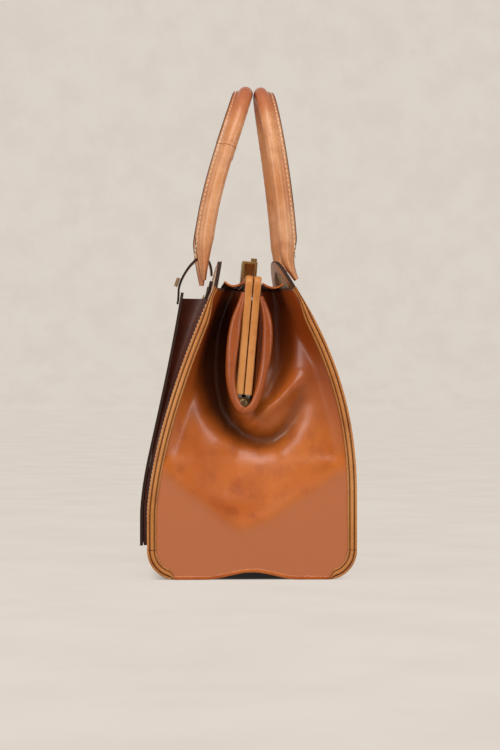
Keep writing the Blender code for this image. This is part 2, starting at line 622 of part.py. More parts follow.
def make_strap(body, leather, metal):
    curve = strap_curve()
    half = STRAP_WIDTH / 2
    rows = [[(x, y, z) for y in spread(-half, half, 5)] for x, z in curve]
    add("pocket_strap", sheet(rows, STRAP_THICKNESS), leather, body)
    (x0, z0), (x1, z1) = curve[BUCKLE_STEP + 1], curve[BUCKLE_STEP - 1]
    tilt = math.atan2(x1 - x0, z1 - z0)
    place = Vector((curve[BUCKLE_STEP][0], 0, curve[BUCKLE_STEP][1]))

    def plate(low, high):
        """A box in the strap's own directions where the buckle sits: outwards, across and up."""
        shape = box(low, high)
        matrix = Matrix.Translation(place) @ Matrix.Rotation(tilt, 4, "Y")
        bmesh.ops.transform(shape, matrix=matrix, verts=shape.verts)
        return shape

    face = -STRAP_THICKNESS - EASE
    deep, rim = BUCKLE_THICKNESS, BUCKLE_RIM
    tall = BUCKLE_HEIGHT / 2
    frame = add("strap_buckle", plate((face - deep, -half - rim, -tall), (face, half + rim, tall)), metal, body, False)
    window = plate((face - 2 * deep, -half, -tall + rim), (face + deep, half, tall - rim))
    combine(frame, add("cut_buckle", window, metal, body, False), "DIFFERENCE")
    front = face - deep - GAP
    prong = plate((front - deep * 0.8, -deep / 2, -tall), (front, deep / 2, tall))
    add("buckle_prong", prong, metal, body, False)


# ---- assembly --------------------------------------------------------------------------------------------------------------------------
def main():
    clear_scene()
    tan = material("tan_leather", TAN, 0.42)
    ochre = material("ochre_leather", OCHRE, 0.48)
    handle_leather = material("handle_leather", (0.50, 0.28, 0.13, 1), 0.5)
    shade = material("dark_leather", (0.05, 0.012, 0.004, 1), 0.55)
    cloth = material("lining_cloth", (0.55, 0.45, 0.33, 1), 0.9)
    board = material("grey_board", (0.30, 0.26, 0.21, 1), 0.85)
    steel = material("steel", (0.45, 0.45, 0.46, 1), 0.4, 1.0)
    bronze = material("dark_bronze", (0.045, 0.026, 0.013, 1), 0.45, 1.0)
    brass = material("brass", (0.50, 0.33, 0.15, 1), 0.3, 1.0)

    root = empty("root", (0, 0, 0))
    frames = {
        "front": empty("front_frame_axis", (HINGE_X, 0, HINGE_Z), root),
        "back": empty("back_frame_axis", (HINGE_X, 0, HINGE_Z), root),
    }
    panels = {
        "front": empty("front_panel_axis", (panel_x(-1, CORNER), 0, CORNER), root),
        "back": empty("back_panel_axis", (panel_x(1, CORNER), 0, CORNER), root),
    }

    make_base(root, tan, board)
    for end, label in ((-1, "near"), (1, "far")):
        make_gusset("gusset_" + label, end, root, tan)
        make_base_welt("base_welt_" + label, end, root, ochre)
        make_hinge_hardware(label, end, root, bronze)

    for side, name in ((-1, "front"), (1, "back")):
        panel, half = panels[name], frames[name]
        make_panel(name, side, panel, tan, cloth)
        make_binding(name + "_binding", side, panel, ochre)
        make_frame_half(name, side, half, ochre, steel)
        make_facing(name + "_facing", side, half, tan)
        pivot = empty(name + "_handle_axis", (handle_x(side, HANDLE_PIVOT_Z), 0, HANDLE_PIVOT_Z), panel)
        make_handle(name + "_handle", side, pivot, handle_leather, cloth)
        for end, label in ((-1, "near"), (1, "far")):
            make_welt(f"{name}_welt_{label}", side, end, panel, ochre)
            make_wing(f"{name}_gusset_wing_{label}", side, end, half, tan)
            make_anchor(f"{name}_handle_tab_{label}", side, end * HANDLE_SPREAD, panel, shade, brass, f"{name}_{label}")

    make_pocket(panels["front"], tan, shade)
    strap_x, strap_z = strap_curve()[0]
    make_strap(empty("strap_axis", (strap_x, 0, strap_z), panels["front"]), ochre, brass)
    slide = empty("lock_slide_axis", frame_point(0.0, 0.0, FRAME_HEIGHT), frames["front"])
    make_lock(frames["front"], frames["back"], slide, brass)


main()
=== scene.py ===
# %% [markdown]
# # A leather doctor bag, seen from one end
#
# The bag is a stiff-based case of tan hide. Two panels lean in towards a two-part mouth frame, and a soft end
# gusset folds in between them when the mouth is shut. The solid model underneath already holds the sizes and
# the joints. This lesson gives it its looks: each leather piece is rebuilt as the soft, folded sheet that it
# really is, and each piece moves with the part of the bag that it is sewn to.

# %% Load the frame
import math

import bpy
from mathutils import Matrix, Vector


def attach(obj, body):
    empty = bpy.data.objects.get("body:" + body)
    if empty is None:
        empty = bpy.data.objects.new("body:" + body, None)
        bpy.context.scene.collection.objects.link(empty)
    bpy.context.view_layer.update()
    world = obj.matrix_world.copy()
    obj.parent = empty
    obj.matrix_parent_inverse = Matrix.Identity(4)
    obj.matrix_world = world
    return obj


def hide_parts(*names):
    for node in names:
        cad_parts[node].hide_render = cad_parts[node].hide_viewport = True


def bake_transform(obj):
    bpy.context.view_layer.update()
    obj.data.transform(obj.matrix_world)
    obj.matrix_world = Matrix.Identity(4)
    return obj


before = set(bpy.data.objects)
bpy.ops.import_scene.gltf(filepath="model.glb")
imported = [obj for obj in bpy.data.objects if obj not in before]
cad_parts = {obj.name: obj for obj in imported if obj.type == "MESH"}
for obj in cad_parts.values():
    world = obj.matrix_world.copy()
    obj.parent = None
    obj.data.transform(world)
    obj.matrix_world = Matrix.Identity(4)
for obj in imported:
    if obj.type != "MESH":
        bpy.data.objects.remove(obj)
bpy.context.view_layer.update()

# %% [markdown]
# ## Sizes
# A maker cuts every piece from the same few patterns, so the curves of the panels, the frame and the handles
# are written here once, as functions of height. They repeat the sizes of the solid model.

# %% Sizes and curves shared by the pieces
BODY_X, HALF_DEPTH, CORNER = 0.0036, 0.100, 0.028
END, PANEL_END = 0.190, 0.188
LEATHER, LINING, BINDING = 0.0025, 0.0010, 0.0070
END_TOP, RISE = 0.278, 0.034
LEAN = {-1: (0.0632, 0.060, 1.55), 1: (0.0576, 0.075, 2.25)}
HINGE_X, HINGE_Z, TILT = -0.0048, 0.168, math.radians(4.9)
PIVOT_Z, HANDLE_TOP, ROLL = 0.290, 0.4845, 0.0068
SIDES = {"front": -1, "back": 1}
ENDS = {"near": -1, "far": 1}


def spread(low, high, count):
    return [low + (high - low) * i / (count - 1) for i in range(count)]


def smooth(value, low, high):
    """0 below low, 1 above high, and an even turn between them."""
    t = min(max((value - low) / (high - low), 0.0), 1.0)
    return t * t * (3 - 2 * t)


def panel_lean(side, z):
    amount, straight, power = LEAN[side]
    share = max(z - straight, 0.0) / (END_TOP - straight)
    return amount * (min(share, 1.0) + 0.5 * max(share - 1.0, 0.0)) ** power


def panel_x(side, z, inset=0.0):
    if z < CORNER:
        reach = CORNER - inset
        half = HALF_DEPTH - CORNER + math.sqrt(max(reach**2 - (CORNER - z) ** 2, 0.0))
    else:
        slope = (panel_lean(side, z + 0.001) - panel_lean(side, z - 0.001)) / 0.002
        half = HALF_DEPTH - panel_lean(side, z) - inset * math.hypot(1.0, slope)
    return BODY_X + side * half


def panel_top(y):
    return END_TOP + RISE * max(0.0, 1 - (y / PANEL_END) ** 2) ** 1.2


def base_z(x):
    return 0.007 * (0.5 + 0.5 * math.cos(math.pi * min(abs(x - BODY_X) / 0.045, 1.0)))


def frame_point(across, y, height):
    """A place given across the shut frame, along the bag, and up the arms from the rivet."""
    c, s = math.cos(TILT), math.sin(TILT)
    return Vector((HINGE_X + across * c + height * s, y, HINGE_Z - across * s + height * c))


def pocket_x(z):
    rise = max(0.0, (z - 0.120) / 0.155)
    return panel_x(-1, z) - 0.0043 - 0.0222 * rise**2 - 0.003


def handle_x(side, z):
    apex = 0.0108 + side * (ROLL + 0.0008)
    rise = (z - PIVOT_Z) / (HANDLE_TOP - PIVOT_Z)
    if side < 0:
        foot = panel_x(side, PIVOT_Z) - 0.0097
        return foot + (apex - foot) * (1.35 * rise**2 - 0.35 * rise**4)
    foot = panel_x(side, PIVOT_Z) + 0.0094 - 0.010
    return foot + (apex - foot) * rise**1.6 + 0.010 * max(0.0, 1 - (z - PIVOT_Z) / 0.028) ** 2


# %% [markdown]
# ## How a surface is painted
# Every finish is a small recipe of numbers that vary over the piece. The class below lets a recipe be written
# as sums, and adds the nodes that carry it out.

# %% Shader helpers
class Wire:
    """A value in a shader: sums and products of wires become Math nodes."""

    def __init__(self, paint, socket):
        self.paint, self.socket = paint, socket

    def _math(self, operation, *values):
        return self.paint.node("ShaderNodeMath", {"operation": operation}, dict(enumerate(values)))

    def __add__(self, other):
        return self._math("ADD", self, other)

    def __mul__(self, other):
        return self._math("MULTIPLY", self, other)

    def __rsub__(self, other):
        return self._math("SUBTRACT", other, self)

    __radd__, __rmul__ = __add__, __mul__

    def absolute(self):
        return self._math("ABSOLUTE", self)

    def clamp(self, low, high):
        """0 at low and below, 1 at high and above."""
        values = {"Value": self, "From Min": low, "From Max": high}
        return self.paint.node("ShaderNodeMapRange", {"interpolation_type": "SMOOTHSTEP"}, values)


class Paint:
    """One finish: its node tree, and the shader that its values end in."""

    def __init__(self, name):
        self.material = bpy.data.materials.new(name)
        self.material.use_nodes = True
        self.tree = self.material.node_tree
        self.shader = self.tree.nodes["Principled BSDF"]
        self.place = self.node("ShaderNodeTexCoord", {}, {}, "Object")

    def node(self, kind, settings, values, output=0):
        made = self.tree.nodes.new(kind)
        for key, value in settings.items():
            if key == "stops":
                for i, (at, colour) in enumerate(value):
                    stop = made.color_ramp.elements[i] if i < 2 else made.color_ramp.elements.new(at)
                    stop.position, stop.color = at, colour
            else:
                setattr(made, key, value)
        for key, value in values.items():
            if isinstance(value, Wire):
                self.tree.links.new(value.socket, made.inputs[key])
            else:
                made.inputs[key].default_value = value
        return Wire(self, made.outputs[output])

    def noise(self, scale, detail=3.0, roughness=0.5, stretch=(1, 1, 1)):
        place = self.node("ShaderNodeMapping", {}, {"Vector": self.place, "Scale": stretch})
        values = {"Vector": place, "Scale": scale, "Detail": detail, "Roughness": roughness}
        return self.node("ShaderNodeTexNoise", {}, values)

    def grain(self, scale, stretch=(1, 1, 1)):
        place = self.node("ShaderNodeMapping", {}, {"Vector": self.place, "Scale": stretch})
        return self.node("ShaderNodeTexVoronoi", {}, {"Vector": place, "Scale": scale})

    def mix(self, share, first, second, kind="MIX"):
        """Between two colours. A Mix node keeps its colour sockets at 6 and 7 and gives its colour at 2."""
        settings = {"data_type": "RGBA", "blend_type": kind}
        return self.node("ShaderNodeMix", settings, {0: share, 6: first, 7: second}, 2)

    def attribute(self, name):
        return self.node("ShaderNodeAttribute", {"attribute_name": name}, {}, "Fac")

    def bump(self, height, strength, distance):
        return self.node("ShaderNodeBump", {}, {"Height": height, "Strength": strength, "Distance": distance})

    def set(self, **values):
        for key, value in values.items():
            socket = self.shader.inputs[key.replace("_", " ")]
            if isinstance(value, Wire):
                self.tree.links.new(value.socket, socket)
            else:
                socket.default_value = value
        return self.material


def tone(red, green, blue):
    """A colour as a paint chart gives it, from 0 to 255, as the light that it returns."""
    parts = [value / 255 for value in (red, green, blue)]
    return tuple(p / 12.92 if p < 0.04045 else ((p + 0.055) / 1.055) ** 2.4 for p in parts) + (1.0,)


# %% [markdown]
# ## Leather
# Vegetable-tanned hide takes its dye unevenly: broad warm clouds, a few pale scuffs and a fine pebbled grain.
# Where it is folded in, or turned away from the lights, its colour is painted darker, as painted shade. Each piece
# may carry a
# "deep" value that sets how much of this painted shade it takes, and an "edge" value for the painted cut edges.

# %% Leather finishes
def leather(name, dark, mid, light, rough=0.40, coat=0.25, clouds=9.0, scuffs=0.5, low=None, high=None,
            high_band=(0.12, 0.24)):
    """low is a painted sheen, paler and pinker, laid on the flat part of a gusset below its V (the flat value);
    high is the colour that the hide turns to up at the mouth: painted shade on the gusset, a darker red at the top
    of the handle's arch.
    """
    p = Paint(name)
    cloud = p.noise(clouds, 4.0, 0.55)
    fine = p.noise(55.0, 5.0, 0.6)
    pores = p.grain(900.0)
    body = p.mix(cloud.clamp(0.38, 0.66), mid, light)
    body = p.mix((fine.clamp(0.45, 0.75)) * 0.35, body, mid, "MULTIPLY")
    scuff = p.noise(38.0, 6.0, 0.7, (1.0, 1.0, 0.25)).clamp(0.66, 0.74) * scuffs
    body = p.mix(scuff, body, light)
    height = p.node("ShaderNodeSeparateXYZ", {}, {"Vector": p.place}, "Z")
    # painted sheen: below a gusset's V the colour turns to the paler low colour, standing for the front lights'
    # reflection
    if low:
        body = p.mix(p.attribute("flat"), body, low)
    # painted shade on the gusset up towards the mouth; on the handle, a darker red at the top of the arch
    if high:
        body = p.mix(height.clamp(*high_band), body, high)
    # painted shade: the deep value turns the colour towards dark in folds, grooves and turned-away sides
    deep = p.attribute("deep")
    body = p.mix(deep, body, dark)
    edge = p.attribute("edge")
    body = p.mix(edge, body, tone(46, 24, 15))
    wear = p.noise(420.0, 3.0, 0.6)
    normal = p.bump(pores * 0.6 + wear * 0.5 + fine * 0.4, 0.22, 0.0006)
    roughness = cloud * 0.18 + fine * 0.12 + scuff * 0.2 + edge * 0.35 + (rough - 0.15)
    shine = (1.0 - edge) * coat
    p.shader.inputs["Coat Roughness"].default_value = 0.22
    p.shader.inputs["Specular IOR Level"].default_value = 0.32
    return p.set(Base_Color=body, Roughness=roughness, Coat_Weight=shine, Normal=normal)


TAN = leather("tan_hide", tone(52, 17, 6), tone(170, 90, 36), tone(188, 112, 60))
# The gusset's low colour is a painted sheen on its flat lower part, and its high colour is painted shade up at the
# mouth.
GUSSET = leather("soft_tan_hide", tone(44, 14, 5), tone(166, 82, 22), tone(184, 100, 34),
                 rough=0.37, coat=0.22, low=tone(172, 100, 60), high=tone(128, 54, 12))
# The roll is the gusset's own hide in darker colours, as painted shade round the frame's arms.
LIP = leather("tan_hide_roll_painted_shade", tone(40, 12, 4), tone(140, 64, 18), tone(154, 76, 28), rough=0.36, coat=0.25)
OCHRE = leather("ochre_hide", tone(80, 38, 14), tone(180, 114, 52), tone(198, 136, 76), rough=0.45, coat=0.12)
ROLLED = leather("handle_hide", tone(110, 56, 30), tone(182, 118, 70), tone(200, 146, 104),
                 rough=0.44, clouds=16.0, high=tone(164, 92, 60), high_band=(0.440, 0.490))
# Dark hide for the leg tabs and the pocket floor; on the pocket's side gussets the dark colour is painted shade
# inside the pocket's ends.
DARK = leather("dark_hide_and_painted_shade", tone(20, 7, 3), tone(50, 18, 8), tone(70, 29, 14), rough=0.55, coat=0.05)


# %% [markdown]
# ## Thread, cloth, board and metal
# The seams are sewn with waxed linen. Linings are a plain woven cotton, and the base is stiffened with board.
# The hinge and its rivets are dark bronze, and the lock and buckle are brass that has dulled.

# %% Other finishes
def thread(name, colour):
    p = Paint(name)
    twist = p.noise(1800.0, 2.0, 0.5)
    return p.set(Base_Color=p.mix(twist, colour, tone(190, 176, 150)), Roughness=0.75,
                 Normal=p.bump(twist, 0.3, 0.0003))


def cloth(name, colour, shade):
    p = Paint(name)
    warp = p.node("ShaderNodeTexWave", {"bands_direction": "Y"}, {"Vector": p.place, "Scale": 380.0})
    weft = p.node("ShaderNodeTexWave", {"bands_direction": "Z"}, {"Vector": p.place, "Scale": 380.0})
    weave = warp * 0.5 + weft * 0.5
    soil = p.noise(14.0, 4.0, 0.6)
    return p.set(Base_Color=p.mix(soil, p.mix(weave, shade, colour), shade), Roughness=0.92,
                 Normal=p.bump(weave, 0.35, 0.0004))


def board(name):
    p = Paint(name)
    flecks = p.noise(300.0, 4.0, 0.7)
    return p.set(Base_Color=p.mix(flecks, tone(120, 108, 94), tone(154, 142, 126)), Roughness=0.9,
                 Normal=p.bump(flecks, 0.2, 0.0004))


def metal(name, dark, bright, rough, tarnish=0.5):
    p = Paint(name)
    patches = p.noise(90.0, 5.0, 0.6)
    brushed = p.noise(700.0, 2.0, 0.5, (1.0, 0.12, 1.0))
    body = p.mix(patches.clamp(0.42, 0.66) * tarnish, bright, dark)
    return p.set(Base_Color=body, Metallic=1.0 - patches.clamp(0.55, 0.8) * 0.35,
                 Roughness=patches * 0.25 + brushed * 0.12 + (rough - 0.18),
                 Normal=p.bump(brushed * 0.5 + patches * 0.5, 0.12, 0.0004))


THREAD = thread("linen_thread", tone(222, 210, 186))
CLOTH = cloth("lining_weave", tone(196, 178, 148), tone(160, 142, 114))
BOARD = board("base_board_stock")
STEEL = metal("frame_steel", tone(92, 90, 88), tone(168, 166, 162), 0.42)
BRONZE = metal("aged_bronze", tone(40, 28, 18), tone(112, 88, 60), 0.42, 0.8)
BRASS = metal("dull_brass", tone(110, 78, 44), tone(196, 160, 104), 0.34, 0.5)
# The lock's recessed end faces are brass in darker colours, as painted shade inside the recess.
RECESS = metal("lock_recess_painted_shade", tone(74, 42, 22), tone(150, 96, 54), 0.40, 0.6)

# %% [markdown]
# ## How a piece is shaped
# A cut sheet of leather is a grid of points with a thickness behind it. A rolled or folded piece is one section
# carried along a path. Both are soft shapes, so their points are placed by curves, as a sculptor would push
# them, and every piece is then given to the body that it moves with.

# %% Shape helpers
def finish_piece(name, points, faces, finish, values=None, sharp=42):
    """A mesh object at the origin, smooth but for its sharp corners, with its painted values."""
    mesh = bpy.data.meshes.new(name)
    mesh.from_pydata([tuple(p) for p in points], [], faces)
    bpy.ops.object.select_all(action="DESELECT")
    made = bpy.data.objects.new(name, mesh)
    bpy.context.scene.collection.objects.link(made)
    for label in ("deep", "edge", "flat"):
        layer = mesh.attributes.new(label, "FLOAT", "POINT")
        layer.data.foreach_set("value", (values or {}).get(label) or [0.0] * len(points))
    mesh.materials.append(finish)
    bpy.context.view_layer.objects.active = made
    made.select_set(True)
    bpy.ops.object.mode_set(mode="EDIT")
    bpy.ops.mesh.select_all(action="SELECT")
    bpy.ops.mesh.normals_make_consistent(inside=False)
    bpy.ops.object.mode_set(mode="OBJECT")
    bpy.ops.object.shade_smooth_by_angle(angle=math.radians(sharp))
    return made


def cut_sheet(name, grid, thickness, finish, away, deep=None, edge=None, flat=None):
    """Leather of one thickness: rows of points for its face, and its back on the side away from `away`."""
    rows, columns = len(grid), len(grid[0])
    front = [Vector(p) for row in grid for p in row]
    normals = []
    for i in range(rows):
        for j in range(columns):
            up = front[min(i + 1, rows - 1) * columns + j] - front[max(i - 1, 0) * columns + j]
            along = front[i * columns + min(j + 1, columns - 1)] - front[i * columns + max(j - 1, 0)]
            normals.append(up.cross(along).normalized())
    depth = math.copysign(thickness, normals[rows // 2 * columns + columns // 2].dot(away))
    back = [point - normal * depth for point, normal in zip(front, normals)]
    count = rows * columns
    faces = []
    for i in range(rows - 1):
        for j in range(columns - 1):
            a = i * columns + j
            quad = (a, a + 1, a + columns + 1, a + columns)
            faces += [quad, tuple(count + k for k in reversed(quad))]
    rim = [(i, 0) for i in range(rows - 1)] + [(rows - 1, j) for j in range(columns - 1)]
    rim += [(i, columns - 1) for i in range(rows - 1, 0, -1)] + [(0, j) for j in range(columns - 1, 0, -1)]
    for (i, j), (k, m) in zip(rim, rim[1:] + rim[:1]):
        a, b = i * columns + j, k * columns + m
        faces.append((a, b, count + b, count + a))
    painted = {label: [v for row in rows_of for v in row] * 2
               for label, rows_of in (("deep", deep), ("edge", edge), ("flat", flat)) if rows_of}
    return finish_piece(name, front + back, faces, finish, painted)


def carried(name, rings, finish, deep=None, edge=None, sharp=42):
    """A closed section carried along a path, with capped ends."""
    around = len(rings[0])
    points = [p for ring in rings for p in ring]
    faces = [tuple(range(around)), tuple(range(len(points) - around, len(points)))]
    for i in range(len(rings) - 1):
        for j in range(around):
            k = (j + 1) % around
            faces.append((i * around + j, i * around + k, (i + 1) * around + k, (i + 1) * around + j))
    return finish_piece(name, points, faces, finish, {"deep": deep, "edge": edge}, sharp)


def along_path(path, share):
    """A point on a list of control points, curved through them, at a share of its length by count."""
    at = share * (len(path) - 1)
    i = min(int(at), len(path) - 2)
    t = at - i
    p0, p1, p2, p3 = (path[min(max(i + k, 0), len(path) - 1)] for k in (-1, 0, 1, 2))
    return [0.5 * (2 * b + (c - a) * t + (2 * a - 5 * b + 4 * c - d) * t * t + (3 * b - a - 3 * c + d) * t**3)
            for a, b, c, d in zip(p0, p1, p2, p3)]


def stitches(name, runs, body, length=0.0026, gap=0.0014, thick=0.00042):
    """Rows of sewn thread: each run is a list of (point, outward normal) pairs along a seam."""
    points, faces = [], []
    for run in runs:
        travelled, place = gap, []
        lengths = [0.0]
        for (a, _), (b, _) in zip(run, run[1:]):
            lengths.append(lengths[-1] + (b - a).length)
        while travelled + length < lengths[-1]:
            place.append(travelled + length / 2)
            travelled += length + gap
        k = 0
        for middle in place:
            while lengths[k + 1] < middle:
                k += 1
            (a, normal), (b, _) = run[k], run[k + 1]
            t = (middle - lengths[k]) / max(lengths[k + 1] - lengths[k], 1e-9)
            spot, way = a.lerp(b, t), (b - a).normalized()
            across = way.cross(normal).normalized()
            lift = across.cross(way)
            first = len(points)
            for share, size in ((-1.0, 0.25), (-0.7, 0.9), (0.0, 1.0), (0.7, 0.9), (1.0, 0.25)):
                for turn in range(6):
                    c, s = math.cos(turn * math.pi / 3), math.sin(turn * math.pi / 3)
                    dip = -0.4 * thick if abs(share) == 1.0 else 0.0
                    points.append(spot + way * share * length / 2 + across * c * thick * size
                                  + lift * (s * thick * size * 0.8 + dip))
            for ring in range(4):
                for turn in range(6):
                    a0, b0 = first + ring * 6 + turn, first + ring * 6 + (turn + 1) % 6
                    faces.append((a0, b0, b0 + 6, a0 + 6))
            faces += [tuple(first + t6 for t6 in range(6)), tuple(first + 24 + t6 for t6 in range(6))]
    made = finish_piece(name, points, faces, THREAD, sharp=80)
    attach(made, body)
    return made


OUT = {-1: Vector((-1, 0, 0)), 1: Vector((1, 0, 0))}

# %% [markdown]
# ## Panels, linings and bindings
# Each long side is one stiff panel of hide. It leans in more and more towards the mouth, and its top edge
# rises to mid length. A thin cotton lining covers the inside up to a strip of leather that binds the top edge.
# The panel is a curved sheet, so it is a grid that follows the pattern's curves and swells very slightly.

# %% Panels, linings, bindings
def panel_grid(side, inset, low, drop, reach, rows, columns):
    grid = []
    for level in spread(0.0, 1.0, rows):
        level = 1 - (1 - level) ** 1.35
        row = []
        for y in spread(-PANEL_END, PANEL_END, columns):
            z = low + (panel_top(y) - drop - low) * level
            swell = 0.0012 * (1 - (y / PANEL_END) ** 2) * math.sin(math.pi * level)
            row.append((panel_x(side, z, inset) + side * swell, y * reach, z))
        grid.append(row)
    return grid


for word, side in SIDES.items():
    body = word + "_panel"
    grid = panel_grid(side, 0.0, CORNER + 0.0004, 0.0, 1.0, 46, 41)
    edge = [[1.0 if i == 45 else 0.0] * 41 for i in range(46)]
    panel = cut_sheet(word + "_panel_hide", grid, LEATHER, TAN, OUT[side], edge=edge)
    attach(panel, body)
    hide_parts(word + "_panel")
    grid = panel_grid(side, LEATHER + 0.0010, CORNER + 0.0010, BINDING + 0.005, 0.975, 24, 21)
    lining = cut_sheet(word + "_cotton_lining", grid, 0.0007, CLOTH, OUT[side])
    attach(lining, body)
    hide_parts(word + "_lining")
    strip = []
    for drop in (BINDING + 0.004, BINDING, BINDING / 2, 0.0010, -0.0002):
        strip.append([(panel_x(side, panel_top(y) - drop, LEATHER + 0.0002), y, panel_top(y) - drop)
                      for y in spread(-PANEL_END, PANEL_END, 41)])
    edge = [[1.0 if i == 4 else 0.0] * 41 for i in range(5)]
    binding = cut_sheet(word + "_top_binding", strip, LINING, OCHRE, OUT[side], edge=edge)
    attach(binding, body)
    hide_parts(word + "_binding")
    seam = []
    for y in spread(-PANEL_END + 0.004, PANEL_END - 0.004, 120):
        z = panel_top(y) - BINDING * 0.7
        seam.append((Vector((panel_x(side, z, -0.0004), y, z)), OUT[side]))
    stitches(word + "_top_stitching", [seam], body)
print("panels:", [word for word in SIDES])

# %% [markdown]
# ## Base
# The base is a third sheet, arched a little between two flat strips that touch the table, and stiffened by a
# board inside. It carries the two end seams' lower runs.

# %% Base
def base_outline(inset, count=9):
    reach = HALF_DEPTH - CORNER
    points = []
    for degrees in spread(180, 270, count):
        a = math.radians(degrees)
        points.append((BODY_X - reach + (CORNER - inset) * math.cos(a), CORNER + (CORNER - inset) * math.sin(a)))
    points += [(x, base_z(x) + inset) for x in spread(BODY_X - 0.045, BODY_X + 0.045, 25)]
    for degrees in spread(270, 360, count):
        a = math.radians(degrees)
        points.append((BODY_X + reach + (CORNER - inset) * math.cos(a), CORNER + (CORNER - inset) * math.sin(a)))
    return points


grid = [[(x, y, z) for y in spread(-PANEL_END, PANEL_END, 13)] for x, z in base_outline(0.0)]
base = cut_sheet("base_hide", grid, LEATHER, TAN, Vector((0, 0, -1)))
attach(base, "body")
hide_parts("base_leather")

# %% [markdown]
# ## Welts
# Where a gusset meets the panels and the base, the edges are sewn together with a strip of paler leather. From
# the end it reads as two ridges, the panel's own folded edge and then the strip, with grooves beside them painted
# dark as painted shade.

# %% Welts
# Each point: inset from the outer face, distance out along the bag, and its painted shade, strongest in the grooves
# and at the back.
WELT_SECTION = [(-0.0002, 0.1868, 0.4), (0.0000, 0.1886, 0), (0.0008, 0.1896, 0), (0.0018, 0.1893, 0.3),
                (0.0025, 0.1884, 1), (0.0031, 0.1892, 0.5), (0.0040, 0.1901, 0), (0.0054, 0.1901, 0),
                (0.0063, 0.1893, 0.4), (0.0068, 0.1883, 1), (0.0075, 0.1887, 0.3), (0.0086, 0.1886, 0.1),
                (0.0094, 0.1870, 0.9), (0.0090, 0.1858, 1), (0.0020, 0.1858, 1)]


def welt(name, outline, end, body, node=None, taper=False, section=WELT_SECTION, finish=OCHRE):
    """outline(inset) gives the seam's points at a distance inside the outer face."""
    edges = {inset: outline(inset) for inset in [0.0] + [row[0] for row in section]}
    rings, deep = [], []
    count = len(edges[0.0])
    for i in range(count):
        narrow = 1 - 0.75 * smooth(i / (count - 1), 0.85, 1.0) if taper else 1.0
        ring = []
        for inset, y, shade in section:
            x, z = edges[inset][i]
            x0, z0 = edges[0.0][i]
            ring.append((x0 + (x - x0) * narrow, end * y, z0 + (z - z0) * narrow))
            deep.append(shade)
        rings.append(ring)
    made = carried(name, rings, finish, deep=deep, sharp=70)
    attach(made, body)
    if node:
        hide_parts(node)


TURN_SECTION = [(0.0004, 0.1866, 0), (0.0000, 0.1876, 0), (0.0003, 0.1882, 0), (0.0010, 0.1884, 0),
                (0.0024, 0.1882, 0), (0.0036, 0.1878, 0), (0.0040, 0.1868, 0), (0.0030, 0.1858, 0),
                (0.0016, 0.1858, 0)]


def corner_outline(side):
    """Round the base's long edge, from the panel down and in to where the strip runs out."""
    def outline(inset):
        points = []
        for degrees in spread(0, 86, 18):
            a = math.radians(degrees)
            points.append((BODY_X + side * (HALF_DEPTH - CORNER + (CORNER - inset) * math.cos(a)),
                           CORNER - (CORNER - inset) * math.sin(a)))
        return points
    return outline


def side_outline(side):
    return lambda inset: [(panel_x(side, z, inset), z) for z in spread(CORNER + 0.0006, END_TOP + 0.001, 44)]


for label, end in ENDS.items():
    welt("base_turn_" + label, lambda inset: base_outline(inset)[5:-5], end, "body", "base_welt_" + label,
         section=TURN_SECTION, finish=GUSSET)
    for word, side in SIDES.items():
        welt(f"{word}_corner_seam_{label}", corner_outline(side), end, "body", taper=True)
    for word, side in SIDES.items():
        welt(f"{word}_seam_{label}", side_outline(side), end, word + "_panel", f"{word}_welt_{label}", True)

# %% [markdown]
# ## End gussets
# The end of the bag is one soft piece of hide. Low down it is nearly flat. A wide V-shaped fold starts at the
# welts and meets low in the middle, and above it the leather slants in towards the hinge, dives into a deep
# valley on each side, and comes back out to wrap the frame's arms in a soft roll. It is made in four pieces
# that share their seams: an outer half beside each panel, and a roll beside each arm. Their points are pushed
# in and out along a few folds, each given as a line with a depth and a width.

# %% End gussets
CURVED = {}


def near_line(path, x, z):
    """The closest place on a fold's line: its distance, and the depth and width there."""
    best = (1e9, 0.0, 1.0)
    fine = CURVED.setdefault(id(path), [along_path(path, i / 12) for i in range(13)])
    for (x0, z0, d0, w0), (x1, z1, d1, w1) in zip(fine, fine[1:]):
        dx, dz = x1 - x0, z1 - z0
        t = min(max(((x - x0) * dx + (z - z0) * dz) / (dx * dx + dz * dz), 0.0), 1.0)
        away = math.hypot(x - x0 - dx * t, z - z0 - dz * t)
        if away < best[0]:
            best = (away, d0 + (d1 - d0) * t, w0 + (w1 - w0) * t)
    return best


